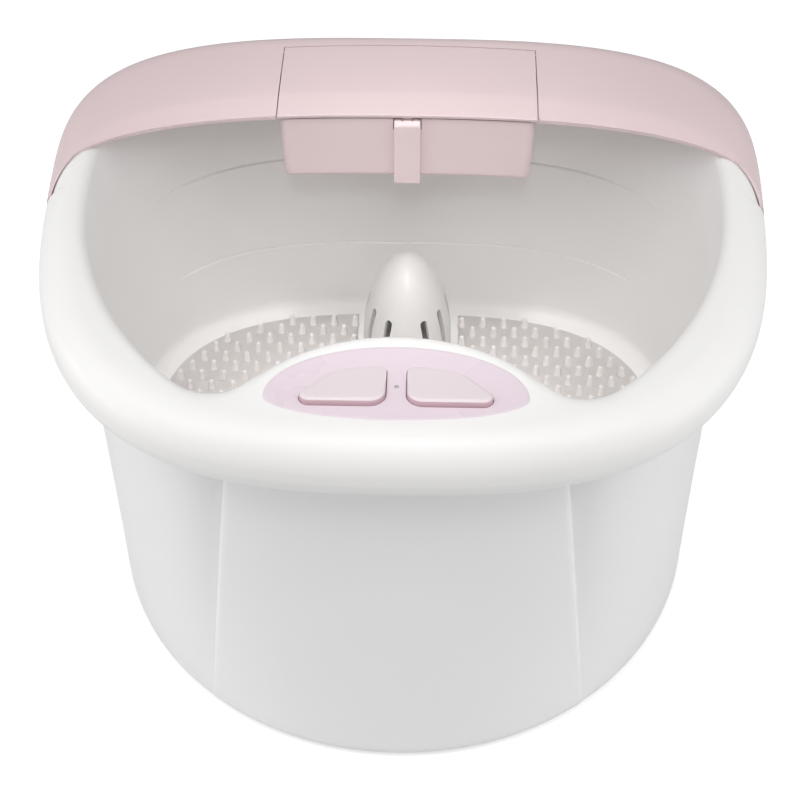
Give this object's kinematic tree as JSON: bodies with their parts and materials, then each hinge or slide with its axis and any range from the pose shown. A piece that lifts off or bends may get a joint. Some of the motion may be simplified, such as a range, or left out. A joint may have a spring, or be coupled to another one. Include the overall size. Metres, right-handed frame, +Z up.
{
  "type": "foot spa basin",
  "caption": "Oval foot bath on a tapered housing, with a toe-end splash guard, lidded accessory box, slotted dome, massage nubs, two push buttons, air blower and vibration motor.",
  "frame": {"origin": "on the standing surface, under the middle of the overall box", "axes": "+Z up, +Y towards the toe end with the splash guard, +X to the user's right"},
  "size_m": [0.396, 0.368, 0.249],
  "materials": {
    "white_shell": "smooth moulded white, soft gloss",
    "rose_shell": "smooth moulded pale rose, soft gloss",
    "rose_tongue": "smooth moulded pale rose, soft gloss",
    "fascia": "pale pink-lilac fascia, glossy",
    "button_white": "near-white with a pink cast, satin",
    "mat_white": "soft white, satin",
    "dome_white": "white, soft gloss",
    "lamp_lens": "grey translucent light guide",
    "grey_plastic": "fine texture",
    "black_plastic": "fine texture",
    "white_plastic": "plain moulded",
    "board_green": "lacquered circuit board",
    "soft_rubber": "matt",
    "clear_rubber": "milky silicone",
    "steel": "plain",
    "zinc_steel": "zinc plated",
    "bronze": "sintered",
    "heater_metal": "plain plate"
  },
  "bodies": {
    "basin": {"basin": "white_shell", "outer_housing": "white_shell", "control_panel": "fascia", "bubble_heat_switch": "black_plastic", "vibration_switch": "black_plastic", "indicator_light": "lamp_lens", "control_board": "board_green", "board_screws": "steel", "dome_seal": "clear_rubber", "massage_mat_left": "mat_white", "massage_mat_right": "mat_white", "base_plate": "grey_plastic", "rubber_feet": "soft_rubber", "base_screws": "steel", "motor_can": "steel", "motor_bushes": "bronze", "motor_bracket": "zinc_steel", "bracket_screws": "steel", "blower_housing": "black_plastic", "blower_screws": "steel", "blower_motor": "steel", "air_hose": "clear_rubber", "air_channel": "white_plastic", "heater_plate": "heater_metal", "thermostat": "steel", "cord_bushing": "soft_rubber"},
    "splash_guard": {"splash_guard": "rose_shell", "accessory_box": "rose_shell", "lid_hinge_pins": "steel", "box_screws": "steel"},
    "box_lid": {"box_lid": "rose_shell", "latch_pin": "steel"},
    "box_latch": {"box_latch": "rose_tongue"},
    "bubble_heat_button": {"bubble_heat_button": "button_white", "bubble_heat_plunger": "black_plastic"},
    "vibration_button": {"vibration_button": "button_white", "vibration_plunger": "black_plastic"},
    "slotted_dome": {"slotted_dome": "dome_white"},
    "impeller": {"blower_impeller": "white_plastic", "blower_shaft": "steel"},
    "rotor": {"motor_rotor": "steel", "eccentric_weight": "zinc_steel"}
  },
  "joints": [
    {"name": "guard_lift", "type": "slide", "parent": "basin", "child": "splash_guard", "axis": [0, 0, 1], "range_m": [0, 0.1]},
    {"name": "lid_hinge", "type": "hinge", "parent": "splash_guard", "child": "box_lid", "pos_m": [0, 0.1574, 0.2468], "axis": [-1, 0, 0], "range_deg": [0, 100]},
    {"name": "latch_hinge", "type": "hinge", "parent": "box_lid", "child": "box_latch", "pos_m": [0, 0.0992, 0.2398], "axis": [-1, 0, 0], "range_deg": [0, 25], "stiffness_Nm_per_rad": 0.02, "springref_deg": -11.46},
    {"name": "bubble_heat_press", "type": "slide", "parent": "basin", "child": "bubble_heat_button", "axis": [0, 0, -1], "range_m": [0, 0.0015], "stiffness_N_per_m": 1500, "springref_m": -0.0005},
    {"name": "vibration_press", "type": "slide", "parent": "basin", "child": "vibration_button", "axis": [0, 0, -1], "range_m": [0, 0.0015], "stiffness_N_per_m": 1500, "springref_m": -0.0005},
    {"name": "dome_lift", "type": "slide", "parent": "basin", "child": "slotted_dome", "axis": [0, 0, 1], "range_m": [0, 0.054]},
    {"name": "impeller_spin", "type": "hinge", "parent": "basin", "child": "impeller", "pos_m": [0, 0.045, 0.03], "axis": [0, 0, 1], "continuous": true},
    {"name": "rotor_spin", "type": "hinge", "parent": "basin", "child": "rotor", "pos_m": [0, -0.035, 0.03], "axis": [1, 0, 0], "continuous": true}
  ]
}
